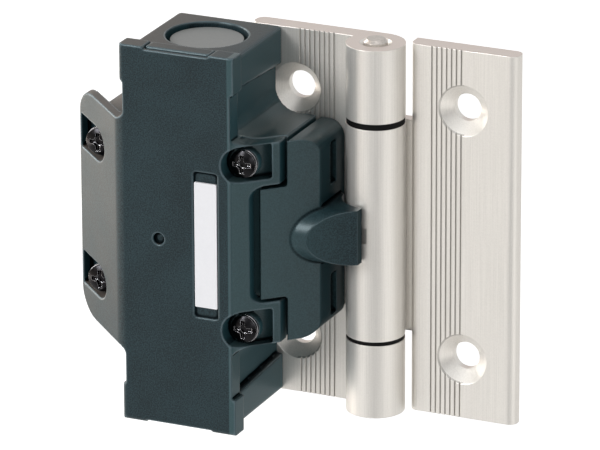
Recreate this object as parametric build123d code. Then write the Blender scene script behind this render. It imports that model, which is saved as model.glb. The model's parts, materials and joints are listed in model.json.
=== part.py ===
from build123d import *
import os
from math import cos, sin, sqrt, radians, tan

os.makedirs("parts", exist_ok=True)

# A door hinge with a safety switch on its fixed leaf. Millimetres throughout.
# The origin is the centre of the fixed leaf's two holes, on its back face.
# +X runs along the leaves towards the door leaf, +Y into the wall, +Z up along the pin.

# Hinge leaves and knuckles
leaf_height = 96.0
leaf_thickness = 5.0
fixed_leaf_reach = 34.4
door_leaf_reach = 36.4
knuckle_radius = 7.4
leaf_hole_offset = 22.2
leaf_hole_spacing = 65.0
leaf_hole_radius = 3.5
countersink_radius = 6.6
door_leaf_inner_edge = 8.0
door_web_thickness = 3.0
upper_joint_height = 28.3
washer_thickness = 1.5
lower_washer_thickness = 1.0
joint_play = 0.05
knuckle_clearance = 0.8
rib_pitch = 1.3
rib_groove_width = 0.6
rib_groove_depth = 0.35
rib_count = 7
rib_start = 13.9
fixed_rib_count = 8
fixed_rib_start = 12.2
leaf_end_radius = 2.2

# Pin and bushes
pin_radius = 3.0
pin_proud = 1.0
pin_chamfer = 0.75
pin_hole_countersink = 1.0
bush_wall = 1.0
bush_sleeve = 11.0
flange_inset = 0.15

# Switch housing
box_width = 28.3
box_end_inset = 0.1
box_centre_offset = 40.4
cover_depth = 5.3
cover_front_standoff = 31.8
wall = 2.0
end_wall = 6.0
base_floor = 1.5
cover_skin = 2.2
cover_overhang = 1.3
cover_side_overhang = 0.3
cover_edge_radius = 1.2
side_recess = 1.6
end_band_front = 8.3
end_band_draft = 1.4
latch_width = 17.0
latch_play = 0.4
latch_notch = 0.7
latch_below_rim = 0.15
latch_skin = 1.2
latch_foot = 2.0
entry_radius = 10.2
plug_disc_radius = 9.1
plug_disc_drop = 1.1
plug_disc_thickness = 1.8
plug_play = 0.1
dimple_offset = 45.4
dimple_radius = 1.5
dimple_depth = 1.2
label_centre_offset = 32.6
label_recess_width = 6.6
label_recess_height = 38.0
label_recess_depth = 0.6
label_width = 6.0
label_end_gap = 2.75
label_thickness = 0.5
label_corner_radius = 0.3
label_recess_corner_radius = 0.9
base_edge_radius = 1.0

# Slanted wings beside the box
wing_half_height = 29.7
wing_corner_radius = 7.0
wing_end_offset = 76.4
wing_end_standoff = 11.6
wing_skin = 3.6
wing_root_radius = 3.0
wing_bend_radius = 5.0
cheek_half_height = 26.2
cheek_end_offset = 9.1
cheek_corner_radius = 4.5
cheek_bend_radius = 1.5
scoop_radius = 6.0
wing_base_inset = 1.0
wing_base_corner_radius = 16.0
wing_seam = 0.8

# Gap between the cover's ears and the actuator head
strip_width = 3.7
head_tongue_start = 5.4
tongue_half_height = 14.5
ear_width = 9.4
head_gap = 1.0
tongue_gap = 0.7
ledge_drop = 0.5
ear_corner_radius = 3.0

# Nose of the actuator head
nose_radius = 7.3
nose_standoff = 13.2
nose_height = 0.5
nose_reach = 0.1
nose_cut_start = 10.8
nose_cut_slope = 34.0
nose_knuckle_gap = 0.6
slot_width = 3.1
slot_height = 10.4
slot_depth = 1.6
slot_start = 11.9
slot_standoff = 5.4

# Cover screws
right_screw_offset = 23.9
right_screw_height = 21.5
right_seat_drop = 4.4
left_screw_offset = 67.6
left_screw_height = 18.1
left_seat_standoff = 17.6
screw_head_radius = 3.6
screw_head_height = 2.2
screw_head_draft = 0.35
screw_shank_radius = 1.7
screw_length = 14.0
left_screw_length = 10.0
pocket_radius = 4.5
left_pocket_radius = 4.3
pocket_rim = 1.6
left_pocket_rim = 0.9
pocket_depth = 4.6
cup_wall = 1.2
cup_play = 0.15
screw_play = 0.2
screw_hole_bottom = 1.5
leaf_screw_head = 3.3
leaf_screw_length = 11.0
leaf_screw_inset = 0.6
base_screw_end_gap = 9.9
head_leaf_screw_height = 11.5
boss_height = 6.0
head_screw_length = 9.0
head_screw_standoff = 15.0
head_screw_height = 10.0
small_head_radius = 2.8
small_head_height = 1.6
block_screw_length = 7.0
gasket_depth = 0.6
gasket_width = 1.0

# Cam, plunger and return spring
opening_angle = 92.0
plunger_travel = 2.9
plunger_offset = 1.0
plunger_radius = 1.6
plunger_tip_length = 1.3
plunger_tip_radius = 0.8
cam_floor_radius = 4.6
cam_clearance = 0.15
cam_half_height = 2.0
plunger_length = 24.5
collar_radius = 2.35
collar_length = 1.0
guide_length = 8.0
guide_wall = 0.8
guide_play = 0.05
seal_length = 1.6
spring_wire = 0.5
spring_turns = 4.0
spring_play = 0.25

# Contact block inside the box
block_length = 19.0
block_side_gap = 2.2
block_lug = 9.0
block_lug_thickness = 2.5
block_lug_width = 8.0
block_screw_end = 4.5
block_depth = 17.5
block_height = 44.0
chamber_length = 15.0
chamber_height = 18.0
channel_depth = 4.4
channel_width = 4.4
tappet_height = 4.0
tappet_length = 14.0
tower_length = 10.5
contact_pitch = 6.0
bridge_thickness = 0.6
bridge_width = 5.0
bridge_length = 15.0
bridge_drop = 5.0
contact_bar_reach = 5.5
contact_bar_thickness = 0.6
terminal_height = 16.0
terminal_screw_radius = 1.5
terminal_head_radius = 2.3
terminal_head_height = 1.6
terminal_screw_length = 8.0
clamp_size = 5.4
clamp_thickness = 1.0

# How far a cutting shape runs past what it cuts
beyond = 30.0

# Places worked out from the sizes above
hinge_x = leaf_hole_offset
hinge_y = -knuckle_radius
leaf_top = leaf_height / 2
back_y = -leaf_thickness
front_y = back_y - cover_front_standoff
split_y = front_y + cover_depth
box_x = hinge_x - box_centre_offset
box_left = box_x - box_width / 2
box_right = box_x + box_width / 2
box_top = leaf_top - box_end_inset
wall_x = box_right - side_recess
cover_top = box_top + cover_overhang
label_height = label_recess_height - 2 * label_end_gap
base_screw_height = box_top - base_screw_end_gap
wing_end_x = hinge_x - wing_end_offset
wing_end_y = back_y - wing_end_standoff
wing_bend_x = wing_end_x + (wing_end_y - front_y)
cheek_x = hinge_x - cheek_end_offset
cheek_y = front_y + (cheek_x - box_right)
entry_y = (back_y + split_y) / 2
upper_joint = upper_joint_height
lower_joint = -upper_joint_height
middle_top = upper_joint - washer_thickness / 2
middle_bottom = lower_joint + lower_washer_thickness / 2
plunger_y = hinge_y - plunger_offset
bush_radius = pin_radius + joint_play + bush_wall
tip_rest = sqrt((cam_floor_radius + cam_clearance + plunger_radius) ** 2 - plunger_offset ** 2)
tip_x = hinge_x - tip_rest
guide_radius = plunger_radius + guide_play + guide_wall
chamber_radius = collar_radius + spring_play
collar_x = cheek_x - guide_length - seal_length - 2.0
head_screw_y = back_y - head_screw_standoff
block_x1 = wall_x - wall - block_side_gap
block_x0 = block_x1 - block_length
block_back = back_y - base_floor
block_front = block_back - block_depth
chamber_x0 = (block_x0 + block_x1) / 2 - chamber_length / 2
chamber_x1 = chamber_x0 + chamber_length
tappet_end = tip_x - plunger_length
tower_x1 = chamber_x1 - 0.6


def box_between(x0, x1, y0, y1, z0, z1):
    centre = Pos((x0 + x1) / 2, (y0 + y1) / 2, (z0 + z1) / 2)
    return centre * Box(x1 - x0, y1 - y0, z1 - z0)


def from_above(face, z0, z1):
    return extrude(Plane.XY.offset(z0) * face, amount=z1 - z0, dir=(0, 0, 1))


def from_front(face, y0, y1):
    return extrude(Plane.XZ.offset(-y1) * face, amount=y1 - y0, dir=(0, -1, 0))


def from_side(face, x0, x1):
    return extrude(Plane.YZ.offset(x0) * face, amount=x1 - x0, dir=(1, 0, 0))


def rod(start, direction, radius, length):
    return extrude(Plane(origin=start, z_dir=direction) * Circle(radius), amount=length)


def cone(start, direction, radius, end_radius, length):
    seat = Plane(origin=start, z_dir=direction)
    return seat * Cone(radius, end_radius, length, align=(Align.CENTER, Align.CENTER, Align.MIN))


def outline(points, roundings):
    face = Polygon(*points, align=None)
    for x, y, radius in roundings:
        corner = face.vertices().sort_by_distance((x, y, 0))[0]
        face = fillet(corner, radius)
    return face


def slanted_y(x):
    return front_y + (x - box_right)


def left_slanted_y(x):
    return front_y + (wing_bend_x - x)


# Hinge leaves


def leaf_grooves(side, start, count):
    grooves = []
    for index in range(count):
        centre = hinge_x + side * (start + index * rib_pitch)
        half = rib_groove_width / 2
        floor = back_y + rib_groove_depth
        points = [(centre - half, back_y - 1), (centre + half, back_y - 1), (centre + half * 0.5, floor),
                  (centre - half * 0.5, floor)]
        grooves.append(from_above(Polygon(*points, align=None), -leaf_top - 1, leaf_top + 1))
    return grooves


def leaf_holes(side):
    cuts = []
    x = hinge_x + side * leaf_hole_offset
    cone_depth = countersink_radius - leaf_hole_radius
    for z in (leaf_hole_spacing / 2, -leaf_hole_spacing / 2):
        cuts.append(rod((x, 1, z), (0, -1, 0), leaf_hole_radius, leaf_thickness + 2))
        cuts.append(cone((x, back_y, z), (0, 1, 0), countersink_radius, leaf_hole_radius, cone_depth))
    return cuts


def knuckle(z0, z1):
    return from_above(Pos(hinge_x, hinge_y) * Circle(knuckle_radius), z0, z1)


def make_fixed_leaf():
    left = hinge_x - fixed_leaf_reach
    plate = outline([(left, 0), (left, back_y), (hinge_x, back_y), (hinge_x, 0)],
                    [(left, 0, leaf_end_radius), (left, back_y, leaf_end_radius)])
    leaf = from_above(plate, -leaf_top, leaf_top)
    leaf += knuckle(upper_joint + washer_thickness / 2 + joint_play, leaf_top)
    leaf += knuckle(-leaf_top, lower_joint - lower_washer_thickness / 2 - joint_play)
    clear_edge = hinge_x - knuckle_radius - knuckle_clearance
    leaf -= box_between(clear_edge, hinge_x + 1, back_y - 1, 1,
                        lower_joint - lower_washer_thickness / 2 - joint_play,
                        upper_joint + washer_thickness / 2 + joint_play)
    leaf -= rod((hinge_x, hinge_y, -leaf_top - 1), (0, 0, 1), pin_radius, leaf_height + 2)
    for end in (1, -1):
        leaf -= cone((hinge_x, hinge_y, end * leaf_top), (0, 0, -end), pin_radius + pin_hole_countersink,
                     pin_radius, pin_hole_countersink)
    for cut in leaf_holes(-1) + leaf_grooves(-1, fixed_rib_start, fixed_rib_count):
        leaf -= cut
    for x, z in leaf_screw_places():
        leaf -= rod((x, 1, z), (0, -1, 0), screw_shank_radius + screw_play, leaf_thickness + 2)
        leaf -= cone((x, 0, z), (0, -1, 0), leaf_screw_head + screw_play,
                     screw_shank_radius + screw_play, leaf_screw_head - screw_shank_radius)
    return leaf


def cam_point(angle, inward):
    travel = plunger_travel * angle / opening_angle
    x = -(tip_rest + travel)
    y = -plunger_offset
    shrink = 1 - inward / sqrt(x * x + y * y)
    turn = radians(angle)
    return (hinge_x + shrink * (x * cos(turn) - y * sin(turn)),
            hinge_y + shrink * (x * sin(turn) + y * cos(turn)))


def make_cam_groove():
    steps = 12
    reach = plunger_radius + cam_clearance
    angles = [opening_angle * step / steps for step in range(steps + 1)]
    inner = Spline(*[cam_point(angle, reach) for angle in angles])
    outer = Spline(*[cam_point(angle, -2 * reach) for angle in reversed(angles)])
    sides = [Line(inner @ 1, outer @ 0), Line(outer @ 1, inner @ 0)]
    groove = from_above(make_face([inner, sides[0], outer, sides[1]]), -cam_half_height, cam_half_height)
    mouth_x, mouth_y = cam_point(0, 0)
    groove += from_above(Pos(mouth_x, mouth_y) * Circle(reach), -cam_half_height, cam_half_height)
    groove += box_between(mouth_x - knuckle_radius, mouth_x, mouth_y - reach, mouth_y + reach,
                          -cam_half_height, cam_half_height)
    return groove


def make_door_leaf():
    inner = hinge_x + door_leaf_inner_edge
    outer = hinge_x + door_leaf_reach
    plate = outline([(inner, 0), (inner, back_y), (outer, back_y), (outer, 0)],
                    [(inner, back_y, leaf_end_radius), (outer, back_y, leaf_end_radius),
                     (outer, 0, leaf_end_radius)])
    leaf = from_above(plate, -leaf_top, leaf_top)
    leaf += knuckle(middle_bottom, middle_top)
    leaf += box_between(hinge_x, inner + leaf_end_radius, -door_web_thickness, 0, middle_bottom, middle_top)
    leaf -= rod((hinge_x, hinge_y, middle_bottom - 1), (0, 0, 1), pin_radius + joint_play,
                middle_top - middle_bottom + 2)
    for start, direction in ((middle_top, -1), (middle_bottom, 1)):
        leaf -= rod((hinge_x, hinge_y, start), (0, 0, direction), bush_radius, bush_sleeve)
    leaf -= make_cam_groove()
    for cut in leaf_holes(1) + leaf_grooves(1, rib_start, rib_count):
        leaf -= cut
    return leaf


def make_hinge_pin():
    bottom = -leaf_top + pin_hole_countersink
    top = leaf_top + pin_proud
    pin = rod((hinge_x, hinge_y, bottom), (0, 0, 1), pin_radius, top - bottom)
    ends = pin.edges().filter_by(GeomType.CIRCLE).sort_by(Axis.Z)
    return chamfer([ends[0], ends[-1]], pin_chamfer)


def make_bush(start, direction, flange):
    outer = knuckle_radius - flange_inset
    bush = rod((hinge_x, hinge_y, start), (0, 0, direction), outer, flange)
    bush += rod((hinge_x, hinge_y, start), (0, 0, -direction), bush_radius, bush_sleeve)
    bush -= rod((hinge_x, hinge_y, start + direction * (flange + 1)), (0, 0, -direction),
                pin_radius + joint_play, flange + bush_sleeve + 2)
    return bush


# Switch housing


def silhouette(inset, corner_radius):
    right_wall = wall_x
    end_x = wing_end_x + inset
    high = wing_half_height - inset
    points = [(box_left, cover_top), (right_wall, cover_top), (right_wall, cheek_half_height),
              (cheek_x, cheek_half_height), (cheek_x, -cheek_half_height), (right_wall, -cheek_half_height),
              (right_wall, -cover_top), (box_left, -cover_top), (box_left, -high),
              (end_x, -high), (end_x, high), (box_left, high)]
    rounds = []
    for end in (1, -1):
        rounds.append((right_wall, end * cheek_half_height, scoop_radius))
        rounds.append((cheek_x, end * cheek_half_height, cheek_corner_radius))
        rounds.append((box_left, end * high, wing_root_radius))
        rounds.append((end_x, end * high, corner_radius))
    return outline(points, rounds)


def wing_form(inset=0, corner_radius=wing_corner_radius):
    plan = outline([(wing_end_x, back_y), (wing_end_x, wing_end_y), (wing_bend_x, front_y),
                    (box_right, front_y), (cheek_x, cheek_y), (cheek_x, back_y)],
                   [(wing_end_x, wing_end_y, cheek_bend_radius), (wing_bend_x, front_y, wing_bend_radius),
                    (cheek_x, cheek_y, cheek_bend_radius)])
    reach = wing_half_height + scoop_radius
    return from_above(plan, -reach, reach) & from_front(silhouette(inset, corner_radius),
                                                    front_y - 1, back_y + 1)


def cover_form():
    left = box_left - cover_overhang
    right = box_right + cover_overhang
    plan = outline([(left, split_y), (left, front_y), (right, front_y), (right, split_y)],
                   [(left, front_y, cover_edge_radius), (right, front_y, cover_edge_radius)])
    side = outline([(split_y, -cover_top), (front_y, -cover_top), (front_y, cover_top), (split_y, cover_top)],
                   [(front_y, cover_top, cover_edge_radius), (front_y, -cover_top, cover_edge_radius)])
    plate = from_above(plan, -cover_top, cover_top) & from_side(side, left, right)
    band = box_top - end_band_front
    jog = cover_overhang - cover_side_overhang
    plate -= box_between(left - 1, left + jog, front_y - 1, split_y + 1, -band, band)
    plate -= box_between(right - jog, right + 1, front_y - 1, split_y + 1, -band, band)
    return plate


def cover_zone():
    reach = wing_half_height + scoop_radius
    inner_left = wing_end_y + wing_skin
    slope_left = wing_bend_x - (split_y - wing_skin - front_y)
    slope_right = box_right + (split_y - wing_skin - front_y)
    ear_x = box_right + ear_width
    points = [(wing_end_x - 1, front_y - 1), (wing_end_x - 1, inner_left), (wing_end_x, inner_left),
              (slope_left, split_y), (slope_right, split_y), (ear_x, slanted_y(ear_x) + wing_skin),
              (ear_x, front_y - 1)]
    zone = from_above(Polygon(*points, align=None), -reach, reach)
    strip_x = box_right + strip_width
    middle = tongue_half_height + tongue_gap
    opening = outline([(strip_x, -middle), (cheek_x, -middle), (cheek_x, middle), (strip_x, middle)],
                      [(strip_x, -middle, ear_corner_radius), (strip_x, middle, ear_corner_radius)])
    return zone - from_front(opening, front_y - 2, back_y)


def right_screws():
    return [(hinge_x - right_screw_offset, end * right_screw_height) for end in (1, -1)]


def left_screws():
    return [(hinge_x - left_screw_offset, end * left_screw_height) for end in (1, -1)]


def surface(side, x):
    return slanted_y(x) if side > 0 else left_slanted_y(x)


def slot_face(side, x, z, grow):
    if side > 0:
        radius = pocket_radius + grow
        end = box_right + ear_width - pocket_rim + grow
    else:
        radius = left_pocket_radius + grow
        end = wing_end_x + left_pocket_rim - grow
    return (Pos(x, z) * Circle(radius)) + (Pos((x + end) / 2, z) * Rectangle(abs(end - x), 2 * radius))


def slanted_band(side, near, far):
    x0, x1 = (box_left, cheek_x) if side > 0 else (wing_end_x - wall, box_left)
    points = [(x0, surface(side, x0) + near), (x1, surface(side, x1) + near),
              (x1, surface(side, x1) + far), (x0, surface(side, x0) + far)]
    return from_above(Polygon(*points, align=None), -wing_half_height, wing_half_height)


def pocket(side, x, z, seat):
    open_part = from_front(slot_face(side, x, z, 0), front_y - 2, back_y) & slanted_band(side, -beyond, pocket_depth)
    radius = pocket_radius if side > 0 else left_pocket_radius
    return open_part + rod((x, seat, z), (0, -1, 0), radius, seat - front_y + 2)


def pillar(side, x, z, seat, grow):
    foot = max(surface(side, x) + pocket_depth, seat + cup_wall)
    return rod((x, foot + grow, z), (0, -1, 0), screw_head_radius + grow, foot + grow - seat)


def cup(side, x, z, seat, grow):
    shape = from_front(slot_face(side, x, z, cup_wall + grow), front_y - 2, back_y)
    shape &= slanted_band(side, cup_wall, pocket_depth + cup_wall + grow)
    radius = (pocket_radius if side > 0 else left_pocket_radius) + cup_wall + grow
    bottom = seat + cup_wall + grow
    return shape + (rod((x, bottom, z), (0, -1, 0), radius, bottom - front_y) & slanted_band(side, cup_wall, beyond))


def cover_cavity():
    return box_between(box_left + wall, wall_x - wall, front_y + cover_skin, split_y + 1,
                       -box_top + end_wall, box_top - end_wall)


def make_front_cover():
    cavity = cover_cavity()
    zone = cover_zone() - cavity
    for side, x, z, seat in cover_screw_places():
        zone += cup(side, x, z, seat, 0)
    cover = (cover_form() - cavity) + (wing_form() & zone)
    cover -= gasket_ring(gasket_depth)
    half = latch_width / 2 + latch_play
    for end in (1, -1):
        low, high = sorted((end * (cover_top - latch_notch), end * (cover_top + 1)))
        cover -= box_between(box_x - half, box_x + half, front_y - 1, split_y + 1, low, high)
        low, high = sorted((end * (box_top - latch_foot - latch_play), end * (cover_top + 1)))
        cover -= box_between(box_x - half, box_x + half, front_y + latch_skin, split_y + 1, low, high)
    for side, x, z, seat in cover_screw_places():
        cover -= pocket(side, x, z, seat)
        cover += pillar(side, x, z, seat, 0)
        cover -= rod((x, back_y, z), (0, -1, 0), screw_shank_radius + screw_play, cover_front_standoff)
    dimple = (hinge_x - dimple_offset, front_y, 0)
    cover -= rod(dimple, (0, 1, 0), dimple_radius, dimple_depth)
    label = Pos(hinge_x - label_centre_offset, 0) * RectangleRounded(label_recess_width, label_recess_height,
                                                              label_recess_corner_radius)
    cover -= from_front(label, front_y - 1, front_y + label_recess_depth)
    return cover


def cover_screw_places():
    places = [(1, x, z, front_y + right_seat_drop) for x, z in right_screws()]
    return places + [(-1, x, z, back_y - left_seat_standoff) for x, z in left_screws()]


def gasket_ring(depth):
    centre = (box_left + wall_x) / 2
    width = wall_x - box_left - wall + gasket_width
    height = 2 * box_top - end_wall + gasket_width
    inner = Rectangle(width - 2 * gasket_width, height - 2 * gasket_width)
    return from_front(Pos(centre, 0) * (Rectangle(width, height) - inner), split_y - depth, split_y)


def make_label_plate():
    face = Pos(hinge_x - label_centre_offset, 0) * RectangleRounded(label_width, label_height, label_corner_radius)
    floor = front_y + label_recess_depth
    return from_front(face, floor - label_thickness, floor)


def base_zone(seam):
    reach = wing_half_height + scoop_radius
    ear_x = box_right + ear_width
    inner_left = wing_end_y + wing_skin
    slope_left = wing_bend_x - (split_y - wing_skin - front_y)
    slope_right = box_right + (split_y - wing_skin - front_y)
    points = [(wing_end_x, back_y), (wing_end_x, inner_left + seam), (slope_left + seam, split_y),
              (slope_right, split_y), (ear_x, slanted_y(ear_x) + wing_skin), (ear_x, back_y)]
    zone = from_above(Polygon(*points, align=None), -reach, reach)
    middle = tongue_half_height + tongue_gap
    zone -= box_between(wall_x, cheek_x, front_y, back_y + 1, -middle, middle)
    return zone


def wing_hollow():
    skin = wing_skin + wing_seam + wall
    left = wing_end_x + wing_base_inset + wall
    right = box_left - wall
    plan = Polygon((left, back_y + 1), (left, left_slanted_y(left) + skin), (right, left_slanted_y(right) + skin),
                   (right, back_y + 1), align=None)
    high = wing_half_height - wing_base_inset - wall
    corner_radius = wing_base_corner_radius - wall
    face = outline([(left, -high), (right, -high), (right, high), (left, high)],
                   [(left, -high, corner_radius), (left, high, corner_radius)])
    return from_above(plan, -high, high) & from_front(face, front_y, back_y + 2)


def make_housing_base():
    base = box_between(box_left, box_right, split_y, back_y, -box_top, box_top)
    base = fillet(base.edges().filter_by(Axis.Y), base_edge_radius)
    front_band = box_top - end_band_front
    back_band = front_band - end_band_draft
    recess = Polygon((split_y - 1, -front_band), (back_y + 1, -back_band), (back_y + 1, back_band),
                     (split_y - 1, front_band), align=None)
    base -= from_side(recess, wall_x, box_right + 1)
    base += wing_form(wing_base_inset, wing_base_corner_radius) & base_zone(wing_seam)
    base -= box_between(box_left + wall, wall_x - wall, split_y - 1, back_y - base_floor,
                        -box_top + end_wall, box_top - end_wall)
    base -= wing_hollow()
    for x, z in left_screws():
        base += rod((x, back_y, z), (0, -1, 0), screw_shank_radius + wall,
                    back_y - left_slanted_y(x) - wing_skin) & base_zone(0)
    for side, x, z, seat in cover_screw_places():
        base -= cup(side, x, z, seat, cup_play)
        base -= pillar(side, x, z, seat, cup_play)
        base -= rod((x, back_y - screw_hole_bottom, z), (0, -1, 0), screw_shank_radius, cover_front_standoff)
    half = latch_width / 2
    for end in (1, -1):
        low, high = sorted((end * (box_top - latch_foot), end * (cover_top - latch_below_rim)))
        base += box_between(box_x - half, box_x + half, front_y + latch_skin + joint_play, split_y, low, high)
        base -= rod((box_x, entry_y, end * (box_top + 1)), (0, 0, -end), entry_radius, end_wall + 2)
    base -= rod((cheek_x, plunger_y, 0), (-1, 0, 0), plunger_radius + spring_play, cheek_x - wall_x + wall + 1)
    for x, z in base_screw_places():
        base += rod((x, back_y, z), (0, -1, 0), screw_shank_radius + wall, boss_height)
        base -= rod((x, back_y + 1, z), (0, -1, 0), screw_shank_radius, leaf_screw_length - leaf_thickness + 1)
    for x, z in block_screw_places():
        base += rod((x, back_y, z), (0, -1, 0), screw_shank_radius + wall, boss_height)
        base -= rod((x, back_y - 0.8, z), (0, -1, 0), screw_shank_radius, boss_height)
    for z in head_screw_heights():
        base -= rod((cheek_x, head_screw_y, z), (-1, 0, 0), screw_shank_radius + screw_play, box_width)
    return base


# Actuator head


def head_zone():
    reach = wing_half_height + scoop_radius
    tongue_x = box_right + head_tongue_start
    ear_x = box_right + ear_width + head_gap
    low = wing_skin + ledge_drop
    start_y = split_y + ledge_drop
    ledge_x = box_right + (start_y - low - front_y)
    tongue = Polygon((wall_x, back_y), (wall_x, start_y), (ledge_x, start_y),
                     (tongue_x, slanted_y(tongue_x) + low), (tongue_x, front_y), (cheek_x, front_y),
                     (cheek_x, back_y), align=None)
    zone = from_above(tongue, -tongue_half_height, tongue_half_height)
    zone += box_between(ear_x, cheek_x, front_y, back_y, -reach, reach)
    return zone


def make_nose():
    axis_y = back_y - nose_standoff
    end_x = hinge_x + nose_reach
    start_x = cheek_x - 2 * nose_radius
    nose = rod((start_x, axis_y, nose_height), (1, 0, 0), nose_radius, end_x - start_x)
    nose += box_between(start_x, end_x, axis_y, hinge_y, nose_height - nose_radius, nose_height + nose_radius)
    cut_x = cheek_x - nose_cut_start + cheek_end_offset
    run = end_x + 1 - cut_x
    front = axis_y - nose_radius
    slope = tan(radians(nose_cut_slope))
    cut = Polygon((cut_x, front), (end_x + 1, front + run * slope), (end_x + 1, front - 1), (cut_x, front - 1),
                  align=None)
    nose -= from_above(cut, -2 * nose_radius, 2 * nose_radius)
    nose -= rod((hinge_x, hinge_y, -2 * nose_radius), (0, 0, 1), knuckle_radius + nose_knuckle_gap,
                4 * nose_radius)
    return nose


def make_actuator_head():
    head = wing_form() & head_zone()
    nose = make_nose()
    shadow = from_above(Polygon((wall_x, back_y), (wall_x, front_y), (box_right, front_y),
                                (cheek_x, cheek_y), (cheek_x, back_y), align=None),
                        -nose_radius - 1, nose_radius + 1)
    head += nose - shadow
    head -= rod((hinge_x, hinge_y, -2 * nose_radius), (0, 0, 1), knuckle_radius + nose_knuckle_gap,
                4 * nose_radius)
    for end in (1, -1):
        low, high = sorted((end * slot_start, end * (slot_start + slot_height)))
        head -= box_between(cheek_x - slot_depth, cheek_x + 1, back_y - slot_standoff - slot_width,
                            back_y - slot_standoff, low, high)
    head -= rod((hinge_x, plunger_y, 0), (-1, 0, 0), guide_radius, hinge_x - cheek_x + guide_length)
    seal_start = cheek_x - guide_length
    head -= rod((seal_start + 0.1, plunger_y, 0), (-1, 0, 0), plunger_radius + guide_play, cheek_x - wall_x)
    head -= rod((wall_x - 1, plunger_y, 0), (1, 0, 0), chamber_radius, collar_x - wall_x + 1 + seal_length)
    for x, z in head_screw_places():
        head -= rod((x, back_y + 1, z), (0, -1, 0), screw_shank_radius, leaf_screw_length - leaf_thickness + 1)
    for z in head_screw_heights():
        head -= rod((wall_x - 1, head_screw_y, z), (1, 0, 0), screw_shank_radius, head_screw_length - wall + 1.5)
    return head


def make_plunger():
    plunger = rod((tip_x, plunger_y, 0), (-1, 0, 0), plunger_radius, plunger_length)
    plunger += cone((tip_x, plunger_y, 0), (1, 0, 0), plunger_radius, plunger_tip_radius, plunger_tip_length)
    plunger += rod((collar_x, plunger_y, 0), (-1, 0, 0), collar_radius, collar_length)
    return plunger


def make_plunger_guide():
    guide = rod((cheek_x, plunger_y, 0), (-1, 0, 0), guide_radius, guide_length)
    guide -= rod((cheek_x + 1, plunger_y, 0), (-1, 0, 0), plunger_radius + guide_play, guide_length + 2)
    return guide


def make_plunger_seal():
    start = collar_x + seal_length - 0.2
    seal = rod((start, plunger_y, 0), (-1, 0, 0), chamber_radius, seal_length - 0.4)
    seal -= rod((start + 1, plunger_y, 0), (-1, 0, 0), plunger_radius + guide_play, seal_length + 2)
    return seal


def make_return_spring():
    length = collar_x - collar_length - wall_x
    mean = (collar_radius + plunger_radius + guide_play) / 2
    rise = length - spring_wire - 2 * guide_play
    path = Helix(pitch=rise / spring_turns, height=rise, radius=mean)
    start = path @ 0
    section = Plane(origin=start, z_dir=path % 0) * RegularPolygon(spring_wire / 2, 6)
    coil = sweep(section, path, is_frenet=True)
    place = Plane(origin=(wall_x + guide_play + spring_wire / 2, plunger_y, 0), z_dir=(1, 0, 0))
    return place * coil


# Screws


def pan_screw(seat, direction, length, head_radius, head_height, shank_radius):
    screw = cone(seat, direction, head_radius, head_radius - screw_head_draft * head_height, head_height)
    return screw + rod(seat, tuple(Vector(*direction) * -1), shank_radius, length)


def flat_screw(seat, direction, length, head_radius, shank_radius):
    into = tuple(Vector(*direction) * -1)
    screw = cone(seat, into, head_radius, shank_radius, head_radius - shank_radius)
    return screw + rod(seat, into, shank_radius, length)


def base_screw_places():
    x = (hinge_x - fixed_leaf_reach + wall_x) / 2 - leaf_screw_inset
    return [(x, end * base_screw_height) for end in (1, -1)]


def head_screw_places():
    x = (wall_x + cheek_x) / 2
    return [(x, end * head_leaf_screw_height) for end in (1, -1)]


def leaf_screw_places():
    return base_screw_places() + head_screw_places()


def head_screw_heights():
    return [head_screw_height, -head_screw_height]


def block_screw_places():
    x = (box_left + wall_x) / 2
    return [(x, end * (block_height / 2 + block_screw_end)) for end in (1, -1)]


# Contact block


def contact_columns():
    return [tower_x1 - 2.2, tower_x1 - 2.2 - contact_pitch]


def bridge_y():
    return block_front + bridge_drop


def make_contact_block():
    half = block_height / 2
    block = box_between(block_x0, block_x1, block_front, block_back, -half, half)
    block -= box_between(chamber_x0, chamber_x1, block_front - 1, block_back - channel_depth,
                         -chamber_height / 2, chamber_height / 2)
    block -= box_between(block_x0 - 1, block_x1 + 1, block_back - channel_depth, block_back + 1,
                         -channel_width / 2, channel_width / 2)
    block -= box_between(chamber_x0, chamber_x1, block_back - channel_depth - 1, block_back + 1,
                         -channel_width / 2, channel_width / 2)
    for x, z in block_screw_places():
        end = 1 if z > 0 else -1
        low, high = sorted((end * half, end * (half + block_lug)))
        lug_front = back_y - boss_height - block_lug_thickness
        x0 = x - block_lug_width / 2
        x1 = x + block_lug_width / 2
        block += box_between(x0, x1, lug_front, back_y - boss_height, low, high)
        block += box_between(x0, x1, lug_front, block_back,
                             *sorted((end * half, end * (half + 0.6))))
        block -= rod((x, back_y, z), (0, -1, 0), screw_shank_radius + screw_play, boss_height + block_lug_thickness + 1)
    for x in contact_columns():
        for end in (1, -1):
            z = end * terminal_height
            low, high = sorted((end * (chamber_height / 2 - 1), end * (half + 1)))
            block -= box_between(x - bridge_width / 2 - 0.1, x + bridge_width / 2 + 0.1, block_front - 1,
                                 bridge_y() + contact_bar_thickness, low, high)
            block -= rod((x, block_front, z), (0, 1, 0), terminal_screw_radius, terminal_screw_length + bridge_drop)
    return block


def make_tappet():
    half = tappet_height / 2
    bar = box_between(tappet_end - tappet_length, tappet_end, block_back - channel_depth + 0.2,
                      block_back - 0.2, -half, half)
    tower = box_between(tower_x1 - tower_length, tower_x1, block_front + 1.5, block_back - 1, -half, half)
    tappet = bar + tower
    for x in contact_columns():
        tappet -= box_between(x - bridge_width / 2, x + bridge_width / 2, bridge_y() - bridge_thickness,
                              bridge_y(), -half - 1, half + 1)
    return tappet


def make_contact_bridges():
    bridges = []
    for x in contact_columns():
        bridges.append(box_between(x - bridge_width / 2, x + bridge_width / 2, bridge_y() - bridge_thickness,
                                   bridge_y(), -bridge_length / 2, bridge_length / 2))
    return bridges


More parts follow.
